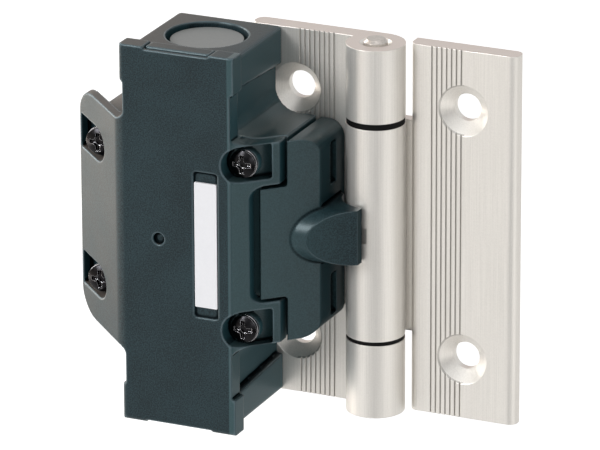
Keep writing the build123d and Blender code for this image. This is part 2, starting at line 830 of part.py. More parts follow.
def make_fixed_contacts():
    bars = []
    for x in contact_columns():
        for end in (1, -1):
            low, high = sorted((end * contact_bar_reach, end * (block_height / 2 - 1)))
            bar = box_between(x - bridge_width / 2, x + bridge_width / 2, bridge_y(),
                              bridge_y() + contact_bar_thickness, low, high)
            bar -= rod((x, block_front, end * terminal_height), (0, 1, 0), terminal_screw_radius + 0.1, block_depth)
            bars.append(bar)
    return bars


def make_terminal_clamps():
    clamps = []
    for x in contact_columns():
        for end in (1, -1):
            z = end * terminal_height
            y = bridge_y() - clamp_thickness
            half = clamp_size / 2
            clamp = box_between(x - bridge_width / 2, x + bridge_width / 2, y, bridge_y(), z - half, z + half)
            clamp -= rod((x, block_front, z), (0, 1, 0), terminal_screw_radius + 0.1, block_depth)
            clamps.append(clamp)
    return clamps


def make_terminal_screws():
    screws = []
    for x in contact_columns():
        for end in (1, -1):
            seat = (x, bridge_y() - clamp_thickness, end * terminal_height)
            screws.append(pan_screw(seat, (0, -1, 0), terminal_screw_length, terminal_head_radius,
                                    terminal_head_height, terminal_screw_radius))
    return screws


# Every piece under its own name


def make_plug(end):
    face = end * (box_top - plug_disc_drop)
    shoulder = end * (box_top - plug_disc_drop - plug_disc_thickness)
    plug = rod((box_x, entry_y, face), (0, 0, -end), plug_disc_radius, plug_disc_thickness)
    plug += rod((box_x, entry_y, shoulder), (0, 0, -end), entry_radius - plug_play,
                end_wall - plug_disc_drop - plug_disc_thickness)
    return plug


def make_cover_screws():
    screws = []
    for side, x, z, seat in cover_screw_places():
        length = screw_length if side > 0 else left_screw_length
        screws.append(pan_screw((x, seat, z), (0, -1, 0), length, screw_head_radius, screw_head_height,
                                screw_shank_radius))
    return screws


def main():
    pieces = {
        "fixed_leaf": make_fixed_leaf(),
        "door_leaf": make_door_leaf(),
        "hinge_pin": make_hinge_pin(),
        "upper_bush": make_bush(middle_top, 1, washer_thickness),
        "lower_bush": make_bush(middle_bottom, -1, lower_washer_thickness),
        "housing_base": make_housing_base(),
        "front_cover": make_front_cover(),
        "cover_gasket": gasket_ring(gasket_depth),
        "label_plate": make_label_plate(),
        "cover_screws": Compound(children=make_cover_screws()),
        "top_entry_plug": make_plug(1),
        "bottom_entry_plug": make_plug(-1),
        "actuator_head": make_actuator_head(),
        "head_screws": Compound(children=[
            pan_screw((wall_x - wall, head_screw_y, z), (-1, 0, 0), head_screw_length, small_head_radius,
                      small_head_height, screw_shank_radius)
            for z in head_screw_heights()]),
        "leaf_screws": Compound(children=[
            flat_screw((x, 0, z), (0, 1, 0), leaf_screw_length, leaf_screw_head, screw_shank_radius)
            for x, z in leaf_screw_places()]),
        "plunger": make_plunger(),
        "plunger_guide": make_plunger_guide(),
        "plunger_seal": make_plunger_seal(),
        "return_spring": make_return_spring(),
        "contact_block": make_contact_block(),
        "block_screws": Compound(children=[
            pan_screw((x, back_y - boss_height - block_lug_thickness, z), (0, -1, 0), block_screw_length, small_head_radius,
                      small_head_height, screw_shank_radius)
            for x, z in block_screw_places()]),
        "switch_tappet": make_tappet(),
        "contact_bridges": Compound(children=make_contact_bridges()),
        "fixed_contacts": Compound(children=make_fixed_contacts()),
        "terminal_clamps": Compound(children=make_terminal_clamps()),
        "terminal_screws": Compound(children=make_terminal_screws()),
    }
    for name, shape in pieces.items():
        export_step(shape, f"parts/{name}.step")


main()
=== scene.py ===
import json
from math import cos, pi, radians, sin

import bmesh
import bpy
import numpy as np
from mathutils import Matrix, Vector


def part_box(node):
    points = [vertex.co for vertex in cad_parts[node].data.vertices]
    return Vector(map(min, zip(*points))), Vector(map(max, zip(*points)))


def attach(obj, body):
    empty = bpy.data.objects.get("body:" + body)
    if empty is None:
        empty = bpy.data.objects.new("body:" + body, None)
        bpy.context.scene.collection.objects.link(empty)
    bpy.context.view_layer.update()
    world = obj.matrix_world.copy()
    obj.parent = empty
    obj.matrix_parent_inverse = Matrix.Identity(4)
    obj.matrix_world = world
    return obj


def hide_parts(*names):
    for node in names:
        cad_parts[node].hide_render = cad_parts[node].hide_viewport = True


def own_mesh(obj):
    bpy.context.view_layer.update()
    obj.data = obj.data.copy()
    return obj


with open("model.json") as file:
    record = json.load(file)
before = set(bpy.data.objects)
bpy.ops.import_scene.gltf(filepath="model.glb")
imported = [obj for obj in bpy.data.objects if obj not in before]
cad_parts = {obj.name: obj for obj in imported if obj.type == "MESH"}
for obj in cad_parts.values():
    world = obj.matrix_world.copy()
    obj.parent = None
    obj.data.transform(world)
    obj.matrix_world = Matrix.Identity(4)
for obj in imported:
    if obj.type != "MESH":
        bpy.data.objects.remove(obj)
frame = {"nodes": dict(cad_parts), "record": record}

scene = bpy.context.scene
nodes = frame["nodes"]
record = frame["record"]
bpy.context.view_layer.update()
mm = 0.001
weld = 0.002 * mm  # points closer than this are one

bodyOf = {node: body for body, members in record["behaviour"]["bodies"].items() for node in members}
slotOf = {part["node"]: part["material_slot"] for part in record["subparts"]}


def put(name, data):  # a new object in the scene
    thing = bpy.data.objects.new(name, data)
    scene.collection.objects.link(thing)
    return thing


# Camera, as the photograph was taken: a long lens from the right and a little above

camera = {
    "target": (7.2 * mm, -15.0 * mm, 0.0),
    "azimuth": 24.18,    # degrees, as are the next two
    "elevation": 20.09,
    "roll": -0.19,
    "distance": 1.5076,
    "sensor": 36.0,      # millimetres, as is the lens
    "lens": 366.8,
    "shiftX": -0.0126,
    "shiftY": 0.0051,
    "clip": (0.01, 30.0),
}


def placeCamera(p):
    data = bpy.data.cameras.new("camera")
    data.sensor_width = p["sensor"]
    data.lens = p["lens"]
    data.shift_x = p["shiftX"]
    data.shift_y = p["shiftY"]
    data.clip_start, data.clip_end = p["clip"]
    turn, rise = radians(p["azimuth"]), radians(p["elevation"])
    back = Vector((sin(turn) * cos(rise), -cos(turn) * cos(rise), sin(rise)))
    stand = put("camera", data)
    stand.rotation_mode = "QUATERNION"
    stand.location = Vector(p["target"]) + back * p["distance"]
    look = (-back).to_track_quat("-Z", "Y").to_matrix() @ Matrix.Rotation(radians(p["roll"]), 3, "Z")
    stand.rotation_quaternion = look.to_quaternion()
    scene.camera = stand


placeCamera(camera)
print("camera in place")


# Node work: one board for any tree, one wire for any output

class Wire:
    def __init__(self, board, socket):
        self.board = board
        self.socket = socket

    def work(self, operation, first, second=0.0):
        return self.board.add("ShaderNodeMath", {"operation": operation}, {0: first, 1: second})

    def over(self, level):  # what stands above a level
        return self.work("MAXIMUM", self - level, 0.0)

    def capped(self, level):
        return self.work("MINIMUM", self, level)

    def clamped(self):  # kept between 0 and 1
        return self.work("MAXIMUM", self, 0.0).capped(1.0)

    def within(self, low, high):
        return (self > low) * (self < high)

    def size(self):
        return self.work("ABSOLUTE", self)

    def __neg__(self):
        return self.work("MULTIPLY", self, -1.0)

    def __add__(self, other):
        return self.work("ADD", self, other)

    def __radd__(self, other):
        return self.work("ADD", other, self)

    def __sub__(self, other):
        return self.work("SUBTRACT", self, other)

    def __rsub__(self, other):
        return self.work("SUBTRACT", other, self)

    def __mul__(self, other):
        return self.work("MULTIPLY", self, other)

    def __truediv__(self, other):
        return self.work("DIVIDE", self, other)

    def __lt__(self, other):
        return self.work("LESS_THAN", self, other)

    def __gt__(self, other):
        return self.work("GREATER_THAN", self, other)


class Board:
    def __init__(self, tree):
        self.tree = tree

    def add(self, kind, settings=None, values=None, output=0):
        node = self.tree.nodes.new(kind)
        for name, value in (settings or {}).items():
            setattr(node, name, value)
        for name, value in (values or {}).items():
            self.feed(node.inputs[name], value)
        return Wire(self, node.outputs[output])

    def feed(self, socket, value):
        if isinstance(value, list):
            for wire in value:
                self.tree.links.new(wire.socket, socket)
        elif isinstance(value, Wire):
            self.tree.links.new(value.socket, socket)
        else:
            socket.default_value = value

    def split(self, vector, axes):  # one wire for each axis that is named
        return [self.add("ShaderNodeSeparateXYZ", {}, {"Vector": vector}, output=axis) for axis in axes]

    def compare(self, operation, first, second):  # two vectors, by their distance or their dot product
        values = {0: first, 1: second}
        return self.add("ShaderNodeVectorMath", {"operation": operation}, values, output="Value")

    def rays(self, *kinds):
        return [self.add("ShaderNodeLightPath", output="Is %s Ray" % kind) for kind in kinds]

    def blend(self, amount, first, second):
        values = {0: amount, 6: first, 7: second}  # the colour sockets of the node
        return self.add("ShaderNodeMix", {"data_type": "RGBA"}, values, output=2)


class Finish(Board):
    def __init__(self, name):
        self.material = bpy.data.materials.new(name)
        self.material.use_nodes = True
        super().__init__(self.material.node_tree)
        self.shader = self.tree.nodes["Principled BSDF"]
        self.place = self.add("ShaderNodeTexCoord", output="Object")

    def set(self, **values):
        for name, value in values.items():
            self.feed(self.shader.inputs[name.replace("_", " ")], value)

    def cover(self, amount, second):  # a second shader laid over the first
        mixed = self.add("ShaderNodeMixShader", {}, {0: amount, 2: second})
        self.tree.links.new(self.shader.outputs[0], mixed.socket.node.inputs[1])
        self.tree.links.new(mixed.socket, self.tree.nodes["Material Output"].inputs["Surface"])

    def facing(self, axes):  # which way a face looks, along the part's own axes
        return self.split(self.add("ShaderNodeTexCoord", output="Normal"), axes)

    def noise(self, scale, detail=2.0, rough=0.5, stretch=None):
        place = self.place
        if stretch:
            place = self.add("ShaderNodeMapping", {}, {"Vector": place, "Scale": stretch})
        values = {"Vector": place, "Scale": scale, "Detail": detail, "Roughness": rough}
        return self.add("ShaderNodeTexNoise", {}, values)

    def between(self, amount, stops, dark, pale):  # a shade that runs from dark to pale
        shade = self.add("ShaderNodeValToRGB", {}, {"Fac": amount})
        for end, stop, colour in zip(shade.socket.node.color_ramp.elements, stops, (dark, pale)):
            end.position = stop
            end.color = colour
        return shade

    def softEdge(self, radius, samples=6):
        return self.add("ShaderNodeBevel", {"samples": samples}, {"Radius": radius})

    def bump(self, height, strength, distance, normal):
        values = {"Height": height, "Strength": strength, "Distance": distance, "Normal": normal}
        self.set(Normal=self.add("ShaderNodeBump", {}, values))


class Plan(Board):  # a Geometry Nodes tree with named sizes
    def __init__(self, name, sizes):
        super().__init__(bpy.data.node_groups.new(name, "GeometryNodeTree"))
        face = self.tree.interface
        face.new_socket("Geometry", in_out="INPUT", socket_type="NodeSocketGeometry")
        for label, value in sizes.items():
            face.new_socket(label, in_out="INPUT", socket_type="NodeSocketFloat").default_value = value
        face.new_socket("Geometry", in_out="OUTPUT", socket_type="NodeSocketGeometry")
        self.start = self.tree.nodes.new("NodeGroupInput")
        self.end = self.tree.nodes.new("NodeGroupOutput")

    def given(self, label):
        return Wire(self, self.start.outputs[label])

    def vector(self, x, y, z):
        return self.add("ShaderNodeCombineXYZ", {}, {"X": x, "Y": y, "Z": z})

    def drum(self, radius, depth, middle, sides):
        values = {"Vertices": sides, "Radius": radius, "Depth": depth}
        return self.move(self.add("GeometryNodeMeshCylinder", {}, values), self.vector(0.0, 0.0, middle))

    def block(self, size, middle):
        return self.move(self.add("GeometryNodeMeshCube", {}, {"Size": size}), middle)

    def move(self, shape, place):
        return self.add("GeometryNodeTransform", {}, {"Geometry": shape, "Translation": place})

    def cut(self, shape, *tools):
        values = {"Mesh 1": shape, "Mesh 2": list(tools)}
        return self.add("GeometryNodeMeshBoolean", {"operation": "DIFFERENCE"}, values)

    def common(self, *shapes):
        return self.add("GeometryNodeMeshBoolean", {"operation": "INTERSECT"}, {"Mesh 2": list(shapes)})

    def join(self, *shapes):
        return self.add("GeometryNodeJoinGeometry", {}, {"Geometry": list(shapes)})

    def deliver(self, shape, material):
        real = self.add("GeometryNodeRealizeInstances", {}, {"Geometry": shape})
        painted = self.add("GeometryNodeSetMaterial", {}, {"Geometry": real, "Material": material})
        self.tree.links.new(painted.socket, self.end.inputs[0])

    def grow(self, mesh, sizes):  # runs the tree on a mesh of points and gives back a plain mesh
        draft = put("draft", mesh)
        job = draft.modifiers.new("plan", "NODES")
        job.node_group = self.tree
        for item in self.tree.interface.items_tree:
            if item.in_out == "INPUT" and item.name in sizes:
                job[item.identifier] = sizes[item.name]
        return bakeMesh(draft)


def bakeMesh(draft):
    ready = draft.evaluated_get(bpy.context.evaluated_depsgraph_get())
    mesh = bpy.data.meshes.new_from_object(ready)
    bpy.data.objects.remove(draft)
    return mesh


def linear(red, green, blue):  # a colour as a picture stores it, made linear for the shaders
    def curve(c):
        c = c / 255
        return c / 12.92 if c <= 0.04045 else ((c + 0.055) / 1.055) ** 2.4
    return (curve(red), curve(green), curve(blue), 1.0)


# Moulded plastic. Each shade of its list is laid over the ones before it

mouldedPlastic = {
    "dark": (2, 16, 22),
    "pale": (28, 48, 54),
    "stops": (0.4, 0.6),
    "ior": 1.45,
    "mirrorTint": (0.8, 0.95, 1.0, 1.0),
    "edge": 0.35 * mm,
    "grain": 3100.0,           # spark-eroded grain, per metre
    "grainDetail": 1.5,
    "grainRough": 0.6,
    "grainShare": 0.8,
    "grainStrength": 0.4,
    "grainDepth": 0.1 * mm,
    "cloud": 90.0,             # slow change of shade and gloss, per metre
    "cloudShare": 0.2,
    "cloudGloss": 0.08,
    "roughness": 0.5,
    "satin": 0.33,             # roughness of the polished side, towards the hinge
    "satinFrom": -4.4 * mm,
    "satinLoss": 0.8,          # how much of the grain the polish takes off
    "paintedSheen": (64, 92, 96),      # painted sheen: the polished side is painted paler near the box
    "paintedSheenShare": 0.5,
    "paintedSheenEnd": 22.0 * mm,
    "paintedSheenSpan": 26.0 * mm,
    "crown": (120, 106, 96),   # painted top light: faces turned up are painted paler, most of all over the wing
    "topLightShare": 0.5,
    "topLightTurn": 0.8,
    "topLightGain": 8.0,
    "topLightEnd": 2.0 * mm,
    "topLightSpan": 45.0 * mm,
    "shadedFlank": (50, 86, 94),     # painted shade: faces turned to the hinge get a painted tone, darker the nearer they are to it
    "flankTurn": 0.75,
    "flankGain": 7.0,
    "flankShade": 0.3,
    "flankShadeRise": 0.4,
    "flankFrom": 2.0 * mm,
    "flankSpan": 10.0 * mm,
    "ridge": (86, 102, 108),   # convex edges painted paler, a painted edge highlight, and made smoother
    "ridgeHighlightShare": 0.7,
    "ridgeRough": 0.24,
    "ridgeFrom": 0.03,
    "ridgeGain": 14.0,
    "hollow": (1, 5, 8),       # corners where the light stays out
    "hollowShare": 0.9,
    "hollowFrom": 0.015,
    "hollowGain": 16.0,
}


def makePlastic(name, p):
    f = Finish(name)
    grain = f.noise(p["grain"], p["grainDetail"], p["grainRough"])
    cloud = f.noise(p["cloud"])
    across = f.split(f.place, "X")[0]
    right, up = f.facing("XZ")
    bend = f.add("ShaderNodeAttribute", {"attribute_name": "bend"}, output="Fac")  # from markBends

    polished = across > p["satinFrom"]
    # painted highlight on convex edges, which are also given less roughness
    ridge = ((bend - p["ridgeFrom"]) * p["ridgeGain"]).clamped()
    hollow = ((-bend - p["hollowFrom"]) * p["hollowGain"]).clamped()
    # painted shade on faces turned to the hinge
    shadedFlank = ((right - p["flankTurn"]) * p["flankGain"]).clamped()
    far = ((across - p["flankFrom"]) / p["flankSpan"]).clamped()
    # painted top light on faces turned up, strongest towards the wing
    crown = ((p["topLightEnd"] - across) / p["topLightSpan"]).clamped()
    crown = crown * ((up - p["topLightTurn"]) * p["topLightGain"]).clamped()
    # painted sheen on the polished side, palest near the box and gone at the hinge
    paintedSheen = ((p["paintedSheenEnd"] - across) / p["paintedSheenSpan"]).clamped() * polished * (1 - shadedFlank)

    mixed = grain * p["grainShare"] + cloud * p["cloudShare"]
    shade = f.between(mixed, p["stops"], linear(*p["dark"]), linear(*p["pale"]))
    # painted light and shade laid over the grain: the sheen, the top light, the hinge-side shade and the
    # edge highlight
    shade = f.blend(paintedSheen * p["paintedSheenShare"], shade, linear(*p["paintedSheen"]))
    shade = f.blend(crown * p["topLightShare"], shade, linear(*p["crown"]))
    shade = f.blend(shadedFlank, shade, linear(*p["shadedFlank"]))
    shade = f.blend(ridge * p["ridgeHighlightShare"], shade, linear(*p["ridge"]))
    rough = p["roughness"] - polished * (p["roughness"] - p["satin"])
    rough = rough - ridge * (rough - p["ridgeRough"])
    f.set(Base_Color=shade, IOR=p["ior"], Specular_Tint=p["mirrorTint"])
    f.set(Roughness=rough + (cloud - 0.5) * p["cloudGloss"])

    # painted shade: near-black diffuse laid over concave corners and over faces turned to the hinge
    paintedShade = (hollow * p["hollowShare"] + shadedFlank * (far * p["flankShadeRise"] + p["flankShade"])).capped(1.0)
    f.cover(paintedShade, f.add("ShaderNodeBsdfDiffuse", {}, {"Color": linear(*p["hollow"])}))
    texture = grain * (1 - polished * p["satinLoss"])
    f.bump(texture, p["grainStrength"], p["grainDepth"], f.softEdge(p["edge"]))
    return f.material


# Anodised aluminium, drawn along the hinge

anodised = {
    "dark": (228, 225, 220),
    "pale": (240, 237, 232),
    "stops": (0.35, 0.65),
    "roughness": 0.4,
    "metal": 0.75,             # the oxide layer scatters a little, as paint does
    "edge": 0.25 * mm,
    "streak": 3800.0,          # drawing lines along the extrusion, per metre
    "streakStretch": (1.0, 1.0, 0.01),
    "streakRough": 0.6,
    "streakShare": 0.7,
    "streakGloss": 0.1,
    "streakStrength": 0.08,
    "streakDepth": 0.03 * mm,
    "speck": 3500.0,
    "speckDetail": 1.0,
    "speckShare": 0.3,
    "groove": (112, 108, 103),   # the drawn grooves, where the shade gathers
    "grooveShare": 0.4,
    "grooveDepth": (-4.97 * mm, -4.6 * mm),
    "grooveSpan": (11.5 * mm, 22.4 * mm),   # measured from the hinge, either way
    "hinge": 22.2 * mm,
    "endShade": (196, 178, 170),   # painted shade: the end faces, top and bottom, painted darker and warmer
    "endShadeShare": 0.6,
    "endTurn": 0.8,
    "endGain": 5.0,
}


def makeAnodised(name, p):
    f = Finish(name)
    streak = f.noise(p["streak"], rough=p["streakRough"], stretch=p["streakStretch"])
    speck = f.noise(p["speck"], p["speckDetail"])
    across, depth = f.split(f.place, "XY")
    up = f.facing("Z")[0]

    groove = depth.within(*p["grooveDepth"]) * (across - p["hinge"]).size().within(*p["grooveSpan"])
    # painted shade on the end faces, turned up or down
    endShade = ((up.size() - p["endTurn"]) * p["endGain"]).clamped()

    mixed = streak * p["streakShare"] + speck * p["speckShare"]
    shade = f.between(mixed, p["stops"], linear(*p["dark"]), linear(*p["pale"]))
    shade = f.blend(groove * p["grooveShare"], shade, linear(*p["groove"]))
    shade = f.blend(endShade * p["endShadeShare"], shade, linear(*p["endShade"]))
    f.set(Base_Color=shade, Metallic=p["metal"])
    f.set(Roughness=p["roughness"] + (streak - 0.5) * p["streakGloss"])
    f.bump(streak, p["streakStrength"], p["streakDepth"], f.softEdge(p["edge"]))
    return f.material


# Even finishes: one colour that strays a little with fine marks

bareMetal = {
    "metal": 1.0,
    "ior": 1.5,
    "mark": 1800.0,       # tool marks, per metre
    "markDetail": 3.0,
    "markRough": 0.6,
    "stops": (0.35, 0.65),
    "spread": 0.05,       # how far the shade strays either way
    "gloss": 0.16,
    "strength": 0.02,
    "depth": 0.005 * mm,
    "edge": 0.15 * mm,
    "wornAndLitEdge": None,         # colour of the edges: finish worn off, and a painted highlight where edges catch the light
    "wornFrom": 0.97,
    "wornGain": 9.0,
}

smoothSkin = {
    "metal": 0.0,
    "ior": 1.5,
    "mark": 1400.0,
    "markDetail": 2.0,
    "markRough": 0.6,
    "stops": (0.35, 0.65),
    "spread": 0.02,
    "gloss": 0.08,
    "strength": 0.2,
    "depth": 0.02 * mm,
    "edge": 0.2 * mm,
    "wornAndLitEdge": None,
}

labelSkin = {"depth": 0.003 * mm, "spread": 0.004}
# screw edges painted pale: worn finish and a painted highlight
wornAndLitEdges = {"edge": 0.22 * mm, "wornAndLitEdge": (176, 176, 180)}


def makeEven(name, colour, roughness, kind, **changes):
    p = {**kind, **changes}
    f = Finish(name)
    mark = f.noise(p["mark"], p["markDetail"], p["markRough"])
    dark, pale = [linear(*[min(255, c * (1 + way * p["spread"])) for c in colour]) for way in (-1, 1)]
    shade = f.between(mark, p["stops"], dark, pale)
    soft = f.softEdge(p["edge"])
    # edges painted paler, partly worn finish and partly a painted highlight
    if p["wornAndLitEdge"]:  # an edge is where the softened normal leaves the true one
        true = f.add("ShaderNodeNewGeometry", output="Normal")
        along = f.compare("DOT_PRODUCT", soft, true)
        shade = f.blend(((p["wornFrom"] - along) * p["wornGain"]).clamped(), shade, linear(*p["wornAndLitEdge"]))
    f.set(Base_Color=shade, Metallic=p["metal"], IOR=p["ior"])
    f.set(Roughness=roughness + (mark - 0.5) * p["gloss"])
    f.bump(mark, p["strength"], p["depth"], soft)
    return f.material


finishes = {
    "leaf_aluminium": makeAnodised("anodisedAluminium", anodised),
    "pin_steel": makeEven("groundSteel", (192, 186, 180), 0.34, bareMetal),
    "bush_polymer": makeEven("blackBush", (5, 5, 6), 0.6, smoothSkin, ior=1.25),
    "housing_plastic": makePlastic("mouldedPlastic", mouldedPlastic),
    "seal_rubber": makeEven("sealRubber", (26, 26, 27), 0.7, smoothSkin),
    "label_white": makeEven("whiteLabel", (224, 224, 227), 0.45, smoothSkin, **labelSkin),
    "screw_dark": makeEven("blackenedSteel", (38, 38, 40), 0.24, bareMetal, **wornAndLitEdges),
    "plug_plastic": makeEven("plugPlastic", (128, 130, 129), 0.42, smoothSkin),
    "screw_steel": makeEven("platedSteel", (188, 186, 180), 0.3, bareMetal),
    "contact_brass": makeEven("contactBrass", (214, 178, 104), 0.25, bareMetal),
    "spring_steel": makeEven("springWire", (176, 176, 176), 0.28, bareMetal),
    "block_plastic": makeEven("blockPlastic", (112, 108, 100), 0.5, smoothSkin),
    "tappet_plastic": makeEven("tappetPlastic", (206, 202, 190), 0.45, smoothSkin),
}

for name, piece in nodes.items():
    if not piece.material_slots:
        piece.data.materials.append(None)
    for holder in piece.material_slots:
        holder.material = finishes[slotOf[name]]
print("materials made")


def adopt(mesh, name, body, slot, *replaced):
    piece = put(name, mesh)
    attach(piece, body)
    if replaced:
        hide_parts(*replaced)
    return piece


def welded(mesh):
    work = bmesh.new()
    work.from_mesh(mesh)
    bmesh.ops.remove_doubles(work, verts=work.verts, dist=weld)
    return work


# Moulded pieces: the solid's own shape with its edges run out round, as a mould leaves them

mouldedPieces = {  # drawnIn opens the joint round the head a little
    "front_cover": {"step": 0.28 * mm, "passes": 3, "triangles": 190000},
    "housing_base": {"step": 0.36 * mm, "passes": 3, "triangles": 190000},
    "actuator_head": {"step": 0.21 * mm, "passes": 8, "triangles": 170000, "drawnIn": 0.25 * mm},
}

bends = {
    "rounds": 2,         # how often a bend is averaged with its neighbours
    "flatTurn": 0.03,    # an edge that turns less than this lies in a flat
    "least": 1e-9,       # no edge counts as shorter, in metres
}


def markBends(mesh, p):  # writes how far each point stands out, and returns the points of the flats
    count = len(mesh.vertices)
    place, facing = np.empty(count * 3, "f"), np.empty(count * 3, "f")
    mesh.vertices.foreach_get("co", place)
    mesh.vertices.foreach_get("normal", facing)
    place, facing = place.reshape(-1, 3), facing.reshape(-1, 3)
    ends = np.empty(len(mesh.edges) * 2, "i")
    mesh.edges.foreach_get("vertices", ends)
    ends = ends.reshape(-1, 2)
    here, there = np.concatenate([ends, ends[:, ::-1]]).T
    way = place[here] - place[there]
    drop = (way * facing[here]).sum(axis=1) / np.maximum(np.linalg.norm(way, axis=1), p["least"])
    links = np.bincount(here, minlength=count)
    bend = np.bincount(here, drop, count) / links
    for _ in range(p["rounds"]):
        bend = (bend + np.bincount(here, bend[there], count) / links) / 2
    mesh.attributes.new("bend", "FLOAT", "POINT").data.foreach_set("value", bend.astype("f"))
    turned = np.linalg.norm(facing[here] - facing[there], axis=1) > p["flatTurn"]
    kept = np.bincount(here, turned, count) > 0
    near = kept | (np.bincount(here, kept[there], count) > 0)
    return np.nonzero(~near)[0].tolist()


def mouldedCopy(name, p):
    mesh = nodes[name].data.copy()
    work = welded(mesh)
    work.to_mesh(mesh)
    work.free()
    draft = put(name + "Draft", mesh)
    grid = draft.modifiers.new("evenSkin", "REMESH")
    grid.mode = "VOXEL"
    grid.voxel_size = p["step"]
    if "drawnIn" in p:
        shrink = draft.modifiers.new("drawnIn", "DISPLACE")
        shrink.strength = -p["drawnIn"]
        shrink.mid_level = 0.0
    soften = draft.modifiers.new("runOut", "SMOOTH")
    soften.factor = 0.5
    soften.iterations = p["passes"]
    even = bakeMesh(draft)
    draft = put(name + "Even", even)
    draft.vertex_groups.new(name="flat").add(markBends(even, bends), 1.0, "REPLACE")
    thin = draft.modifiers.new("flatsThinned", "DECIMATE")
    thin.vertex_group = "flat"
    thin.ratio = min(1.0, p["triangles"] / 2 / len(even.polygons))
    ready = bakeMesh(draft)
    ready.shade_smooth()
    ready.materials.clear()
    ready.materials.append(finishes[slotOf[name]])
    adopt(ready, name + "Moulded", bodyOf[name], slotOf[name], name)
    print(name, "moulded,", len(ready.polygons), "faces")


for name, p in mouldedPieces.items():
    mouldedCopy(name, p)


# Screws: one tree sets a head, its recess and a shank on every seat it is given

coverScrews = {
    "Head Radius": 3.45 * mm,
    "Head Height": 2.15 * mm,
    "Crown Radius": 7.0 * mm,
    "Collar Radius": 3.58 * mm,
    "Collar Height": 0.5 * mm,
    "Shank Radius": 1.66 * mm,
    "Recess Span": 4.7 * mm,
    "Recess Width": 1.1 * mm,
    "Recess Depth": 1.3 * mm,
    "Recess Heart": 1.15 * mm,
}

leafScrews = {
    "Head Radius": 3.25 * mm,
    "Head Height": 1.55 * mm,
    "Shank Radius": 1.66 * mm,
    "Recess Span": 3.7 * mm,
    "Recess Width": 0.85 * mm,
    "Recess Depth": 0.9 * mm,
    "Recess Heart": 0.95 * mm,
}

screwCuts = {
    "headSides": 56,
    "crownRings": 48,
    "heartSides": 24,
    "shankSides": 32,
    "clear": 0.05,         # how far the cutters stand out of the head, in millimetres
    "heartDepth": 1.1,     # against the depth of the cross
    "sharpFrom": 32.0,     # edges that turn by more degrees stay sharp
}


def islands(node):  # the lowest and highest corner of every separate solid in a CAD node
    work = welded(nodes[node].data)
    left, found = set(work.verts), []
    while left:
        crowd, edge = set(), [next(iter(left))]
        while edge:
            point = edge.pop()
            if point in crowd:
                continue
            crowd.add(point)
            edge += [link.other_vert(point) for link in point.link_edges]
        left -= crowd
        places = [point.co for point in crowd]
        found.append([Vector(pick(c[axis] for c in places) for axis in range(3)) for pick in (min, max)])
    work.free()
    return sorted(found, key=lambda corners: tuple(corners[0]))


def screwPlan(name, sizes, p):
    plan = Plan(name, sizes)
    grown = 1 / mm  # the cuts need shapes of a fair size, so one is a millimetre here
    crowned = "Crown Radius" in sizes

    def given(label):
        return plan.given(label) * grown

    radius, height, shank = given("Head Radius"), given("Head Height"), given("Shank Radius")
    span, width, depth = given("Recess Span"), given("Recess Width"), given("Recess Depth")
    if crowned:
        crown = given("Crown Radius")
        values = {"Segments": p["headSides"], "Rings": p["crownRings"], "Radius": crown}
        ball = plan.add("GeometryNodeMeshUVSphere", {}, values)
        ball = plan.move(ball, plan.vector(0.0, 0.0, height - crown))
        head = plan.common(plan.drum(radius, height, height * 0.5, p["headSides"]), ball)
    else:
        values = {"Radius Top": radius, "Radius Bottom": shank, "Depth": height}
        head = plan.add("GeometryNodeMeshCone", {}, {**values, "Vertices": p["headSides"]})
    level = height - depth * 0.5 + p["clear"]
    along = plan.block(plan.vector(span, width, depth), plan.vector(0.0, 0.0, level))
    over = plan.block(plan.vector(width, span, depth), plan.vector(0.0, 0.0, level))
    heart = plan.drum(given("Recess Heart"), depth * p["heartDepth"], level, p["heartSides"])
    parts = [plan.cut(head, along, over, heart)]
    if crowned:
        collar = given("Collar Height")
        parts.append(plan.drum(given("Collar Radius"), collar, collar * 0.5, p["headSides"]))

    reach = plan.add("GeometryNodeInputNamedAttribute", {"data_type": "FLOAT"}, {"Name": "reach"})
    turn = plan.add("GeometryNodeInputNamedAttribute", {"data_type": "FLOAT_VECTOR"}, {"Name": "turn"})
    stem = plan.drum(shank, 1.0, -0.5, p["shankSides"])
    seated = []
    for shape, scale in ((plan.join(*parts), (mm, mm, mm)), (stem, plan.vector(mm, mm, reach))):
        values = {"Points": plan.given("Geometry"), "Instance": shape, "Rotation": turn, "Scale": scale}
        seated.append(plan.add("GeometryNodeInstanceOnPoints", {}, values))
    return plan, plan.join(*seated)


def setScrews(node, sizes, facing):  # facing is 1 where the heads look along Y, and -1 against it
    plan, shape = screwPlan(node + "Plan", sizes, screwCuts)
    plan.deliver(shape, finishes[slotOf[node]])
    seats, reach, turn = [], [], []
    for low, high in islands(node):
        middle = (low + high) / 2
        top, tip = (low.y, high.y) if facing < 0 else (high.y, low.y)
        seat = top - facing * sizes["Head Height"]
        seats.append((middle.x, seat, middle.z))
        reach.append(abs(tip - seat))
        turn += [facing * -pi / 2, 0.0, 0.0]
    mesh = bpy.data.meshes.new(node + "Seats")
    mesh.from_pydata(seats, [], [])
    mesh.materials.append(finishes[slotOf[node]])
    mesh.attributes.new("reach", "FLOAT", "POINT").data.foreach_set("value", reach)
    mesh.attributes.new("turn", "FLOAT_VECTOR", "POINT").data.foreach_set("vector", turn)
    ready = plan.grow(mesh, sizes)
    ready.set_sharp_from_angle(angle=radians(screwCuts["sharpFrom"]))
    adopt(ready, node + "Dressed", bodyOf[node], slotOf[node], node)
    print(node, "set on", len(seats), "seats")


setScrews("cover_screws", coverScrews, -1)
setScrews("leaf_screws", leafScrews, 1)


# Return spring: round wire, wound once at a fixed length

spring = {
    "sizes": {
        "Wire Radius": 0.25 * mm,
        "Coil Radius": 1.97 * mm,
        "Rise": 5.55 * mm,
        "Turns": 4.0,
    },
    "steps": 48,      # straight lengths in a turn
    "sides": 14,
    "travel": 2.9 * mm,
}


